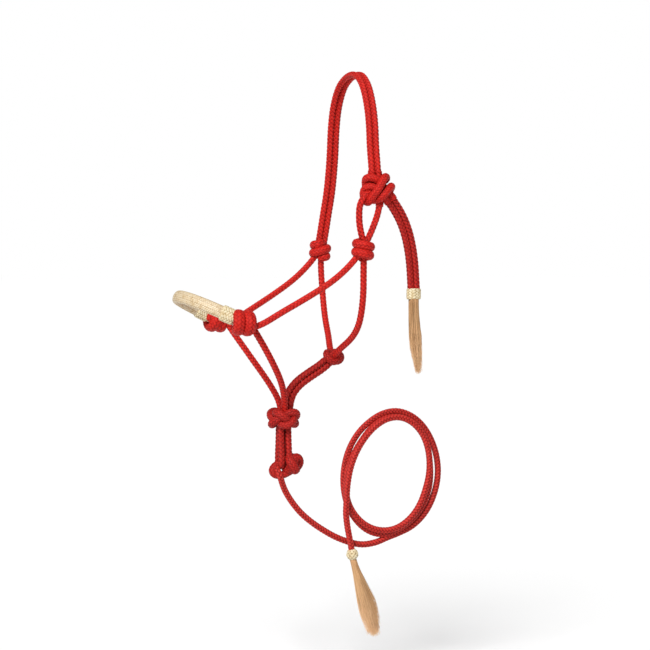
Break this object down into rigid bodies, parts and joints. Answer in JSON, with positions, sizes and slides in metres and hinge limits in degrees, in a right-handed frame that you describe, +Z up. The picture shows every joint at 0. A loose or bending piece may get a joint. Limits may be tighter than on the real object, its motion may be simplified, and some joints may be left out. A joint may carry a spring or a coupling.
{
  "type": "rope halter",
  "caption": "Knotted braided-cord horse halter with a rawhide-covered noseband, a tied crown, and a cord lead in a loose coil that ends in a button and tassel.",
  "frame": {"origin": "the middle of the crown's underside, where it rests on the poll behind the horse's ears", "axes": "+Z up; the horse's nose towards -X; its left side, where the crown is tied, towards -Y"},
  "size_m": [0.3623, 0.2064, 0.7409],
  "materials": {
    "halter_cord": "red braided polyester cord",
    "lead_cord": "red braided polyester cord, slightly duller",
    "rawhide": "plaited natural rawhide strip, low sheen",
    "horsehair": "straight sorrel horsehair"
  },
  "bodies": {
    "halter": {"noseband_cover": "rawhide", "noseband_upper_core": "halter_cord", "noseband_lower_core": "halter_cord", "left_noseband_collar": "rawhide", "right_noseband_collar": "rawhide", "left_nose_knot": "halter_cord", "right_nose_knot": "halter_cord", "left_cheek_cord": "halter_cord", "right_cheek_cord": "halter_cord", "left_chin_cord": "halter_cord", "right_chin_cord": "halter_cord", "left_cheek_knot": "halter_cord", "right_cheek_knot": "halter_cord", "left_throat_cord": "halter_cord", "right_throat_cord": "halter_cord", "throat_knot": "halter_cord", "fiador_upper_cord": "halter_cord", "fiador_lower_cord": "halter_cord", "fiador_knot": "halter_cord", "crown_front_cord": "halter_cord", "crown_rear_cord": "halter_cord", "tie_loop_front_leg": "halter_cord", "tie_loop_rear_leg": "halter_cord", "tie_knot": "halter_cord"},
    "crown_tails": {"tail_front_cord": "halter_cord", "tail_rear_cord": "halter_cord", "tail_ferrule": "rawhide"},
    "tail_hair": {"tail_tassel": "horsehair"},
    "heel_loops": {"front_heel_loop": "halter_cord", "rear_heel_loop": "halter_cord", "lead_eye": "lead_cord", "lead_ball_knot": "lead_cord", "lead_through_strand": "lead_cord", "lead_under_strand": "lead_cord"},
    "lead": {"lead_cord": "lead_cord", "lead_coil": "lead_cord", "lead_end_cord": "lead_cord", "lead_button": "rawhide"},
    "lead_hair": {"lead_tassel": "horsehair"}
  },
  "joints": [
    {"name": "tails_swing", "type": "hinge", "parent": "halter", "child": "crown_tails", "pos_m": [0.0185, -0.084, -0.159], "axis": [0, 1, 0], "range_deg": [-25, 6]},
    {"name": "tail_hair_swing", "type": "hinge", "parent": "crown_tails", "child": "tail_hair", "pos_m": [0.053, -0.08, -0.293], "axis": [0, 1, 0], "range_deg": [-20, 20]},
    {"name": "heel_loops_swing", "type": "hinge", "parent": "halter", "child": "heel_loops", "pos_m": [-0.096, 0, -0.455], "axis": [0, 1, 0], "range_deg": [-12, 12]},
    {"name": "lead_swing", "type": "hinge", "parent": "heel_loops", "child": "lead", "pos_m": [-0.102, -0.001, -0.5175], "axis": [0, 1, 0], "range_deg": [-8, 60]},
    {"name": "lead_hair_swing", "type": "hinge", "parent": "lead", "child": "lead_hair", "pos_m": [-0.004, -0.009, -0.633], "axis": [0, 1, 0], "range_deg": [-30, 20]}
  ]
}
